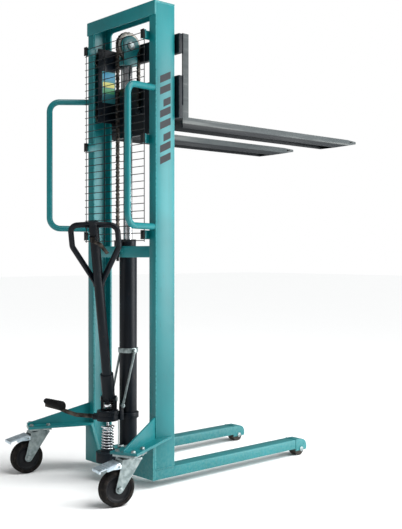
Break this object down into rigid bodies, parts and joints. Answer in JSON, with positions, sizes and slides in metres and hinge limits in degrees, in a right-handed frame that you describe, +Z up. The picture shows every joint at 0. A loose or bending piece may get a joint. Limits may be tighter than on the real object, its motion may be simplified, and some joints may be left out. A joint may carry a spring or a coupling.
{
  "type": "walkie stacker",
  "caption": "Hand hydraulic walkie stacker: twin-channel mast, chain-lifted forks over straddle legs, braked rear castors, pump tiller, foot pedal and wire guard.",
  "frame": {"origin": "floor level under the middle of the machine, on its middle plane", "axes": "+X towards the fork tips, +Y to the left, +Z up"},
  "size_m": [1.6587, 0.822, 2.01],
  "materials": {
    "frame_paint": "semi-gloss teal enamel",
    "dark_paint": "satin black enamel",
    "fork_paint": "worn grey enamel",
    "chain_steel": "oiled dark steel",
    "zinc_plate": "bright zinc plate",
    "chrome_rod": "hard chrome",
    "wheel_rubber": "matte black rubber",
    "wheel_core": "black plastic and plastic-dipped wire",
    "roller_nylon": "dark nylon",
    "bare_steel": "worn bare steel"
  },
  "bodies": {
    "chassis": {"upright_left": "frame_paint", "upright_right": "frame_paint", "top_beam": "frame_paint", "mid_crossmember": "frame_paint", "base_crossplate": "frame_paint", "leg_left": "frame_paint", "leg_right": "frame_paint", "leg_roller_axles": "zinc_plate", "castor_wing_left": "frame_paint", "castor_wing_right": "frame_paint", "castor_plates": "zinc_plate", "castor_bolts": "zinc_plate", "handrail_left": "frame_paint", "handrail_right": "frame_paint", "guard_mesh": "wheel_core", "guard_tabs": "frame_paint", "guard_clips": "wheel_core", "lift_cylinder": "dark_paint", "cylinder_gland": "dark_paint", "pump_body": "dark_paint", "release_valve": "zinc_plate", "pump_bracket": "dark_paint", "stay_rods": "zinc_plate", "chain_anchor": "chain_steel", "chain_rear": "chain_steel", "pump_spring": "chrome_rod"},
    "crosshead": {"piston_rod": "chrome_rod", "crosshead_yoke": "frame_paint", "sheave_axle": "zinc_plate", "chain_wrap": "chain_steel", "chain_front": "chain_steel"},
    "sheave": {"chain_sheave": "chain_steel"},
    "carriage": {"carriage_side_left": "dark_paint", "carriage_side_right": "dark_paint", "carriage_upper_bar": "dark_paint", "carriage_lower_plate": "dark_paint", "fork_left": "fork_paint", "fork_right": "fork_paint"},
    "rollers_upper": {"guide_rollers_upper": "chain_steel"},
    "rollers_lower": {"guide_rollers_lower": "chain_steel"},
    "tiller_head": {"tiller_head": "dark_paint", "tiller_pin": "zinc_plate"},
    "tiller": {"tiller_tube": "dark_paint", "handle_loop": "dark_paint"},
    "release_lever": {"release_lever": "bare_steel"},
    "foot_pedal": {"pedal_arm": "bare_steel", "pedal_pad": "wheel_rubber"},
    "plunger": {"plunger": "chrome_rod"},
    "castor_left": {"castor_fork_left": "zinc_plate", "castor_axle_left": "zinc_plate"},
    "wheel_left": {"castor_tyre_left": "wheel_rubber", "castor_hub_left": "wheel_core"},
    "brake_left": {"brake_pedal_left": "zinc_plate"},
    "leg_roller_left": {"leg_roller_left": "roller_nylon"},
    "castor_right": {"castor_fork_right": "zinc_plate", "castor_axle_right": "zinc_plate"},
    "wheel_right": {"castor_tyre_right": "wheel_rubber", "castor_hub_right": "wheel_core"},
    "brake_right": {"brake_pedal_right": "zinc_plate"},
    "leg_roller_right": {"leg_roller_right": "roller_nylon"}
  },
  "joints": [
    {"name": "lift_mast", "type": "slide", "parent": "chassis", "child": "crosshead", "axis": [0, 0, 1], "range_m": [-0.725, 0], "deforming": ["chain_rear"]},
    {"name": "lift_carriage", "type": "slide", "parent": "crosshead", "child": "carriage", "axis": [0, 0, 1], "range_m": [-0.726, 0.001], "deforming": ["chain_front"]},
    {"name": "sheave_spin", "type": "hinge", "parent": "crosshead", "child": "sheave", "pos_m": [-0.4415, 0, 1.869], "axis": [0, 1, 0], "range_deg": [-3, 744.8]},
    {"name": "upper_roller_spin", "type": "hinge", "parent": "carriage", "child": "rollers_upper", "pos_m": [-0.4335, 0, 1.846], "axis": [0, 1, 0], "range_deg": [-2080, 3]},
    {"name": "lower_roller_spin", "type": "hinge", "parent": "carriage", "child": "rollers_lower", "pos_m": [-0.4335, 0, 1.604], "axis": [0, 1, 0], "range_deg": [-3, 2080]},
    {"name": "tiller_swivel", "type": "hinge", "parent": "chassis", "child": "tiller_head", "pos_m": [-0.5495, 0, 0.282], "axis": [0, 0, 1], "range_deg": [-90, 10]},
    {"name": "tiller_swing", "type": "hinge", "parent": "tiller_head", "child": "tiller", "pos_m": [-0.53418, 0.01286, 0.345], "axis": [-0.6428, 0.766, 0], "range_deg": [-50, 0]},
    {"name": "release_lever_swing", "type": "hinge", "parent": "tiller", "child": "release_lever", "pos_m": [-0.72569, -0.14784, 1.03029], "axis": [-0.6428, 0.766, 0], "range_deg": [0, 25]},
    {"name": "foot_pedal_swing", "type": "hinge", "parent": "chassis", "child": "foot_pedal", "pos_m": [-0.57734, 0.05496, 0.27], "axis": [0.766, 0.6428, 0], "range_deg": [-20, 0]},
    {"name": "plunger_slide", "type": "slide", "parent": "chassis", "child": "plunger", "axis": [0, 0, 1], "range_m": [-0.0245, 0.0005], "deforming": ["pump_spring"]},
    {"name": "castor_swivel_left", "type": "hinge", "parent": "chassis", "child": "castor_left", "pos_m": [-0.6835, 0.338, 0.19], "axis": [0, 0, 1], "continuous": true},
    {"name": "castor_wheel_left", "type": "hinge", "parent": "castor_left", "child": "wheel_left", "pos_m": [-0.74062, 0.34807, 0.07], "axis": [0.1736, 0.9848, 0], "continuous": true},
    {"name": "brake_pedal_left", "type": "hinge", "parent": "castor_left", "child": "brake_left", "pos_m": [-0.74456, 0.34877, 0.158], "axis": [0.1736, 0.9848, 0], "range_deg": [-12, 0]},
    {"name": "leg_roller_spin_left", "type": "hinge", "parent": "chassis", "child": "leg_roller_left", "pos_m": [0.4045, 0.2145, 0.032], "axis": [0, 1, 0], "continuous": true},
    {"name": "castor_swivel_right", "type": "hinge", "parent": "chassis", "child": "castor_right", "pos_m": [-0.6835, -0.338, 0.19], "axis": [0, 0, 1], "continuous": true},
    {"name": "castor_wheel_right", "type": "hinge", "parent": "castor_right", "child": "wheel_right", "pos_m": [-0.74062, -0.32793, 0.07], "axis": [0.1736, 0.9848, 0], "continuous": true},
    {"name": "brake_pedal_right", "type": "hinge", "parent": "castor_right", "child": "brake_right", "pos_m": [-0.74456, -0.32723, 0.158], "axis": [0.1736, 0.9848, 0], "range_deg": [-12, 0]},
    {"name": "leg_roller_spin_right", "type": "hinge", "parent": "chassis", "child": "leg_roller_right", "pos_m": [0.4045, -0.2145, 0.032], "axis": [0, 1, 0], "continuous": true}
  ],
  "couplings": [
    {"joint": "lift_carriage", "follows": "lift_mast", "ratio": 1},
    {"joint": "sheave_spin", "follows": "lift_mast", "rad_per_m": -17.857},
    {"joint": "upper_roller_spin", "follows": "lift_mast", "rad_per_m": 50},
    {"joint": "lower_roller_spin", "follows": "lift_mast", "rad_per_m": -50},
    {"joint": "plunger_slide", "follows": "tiller_swing", "m_per_rad": 0.0275}
  ]
}
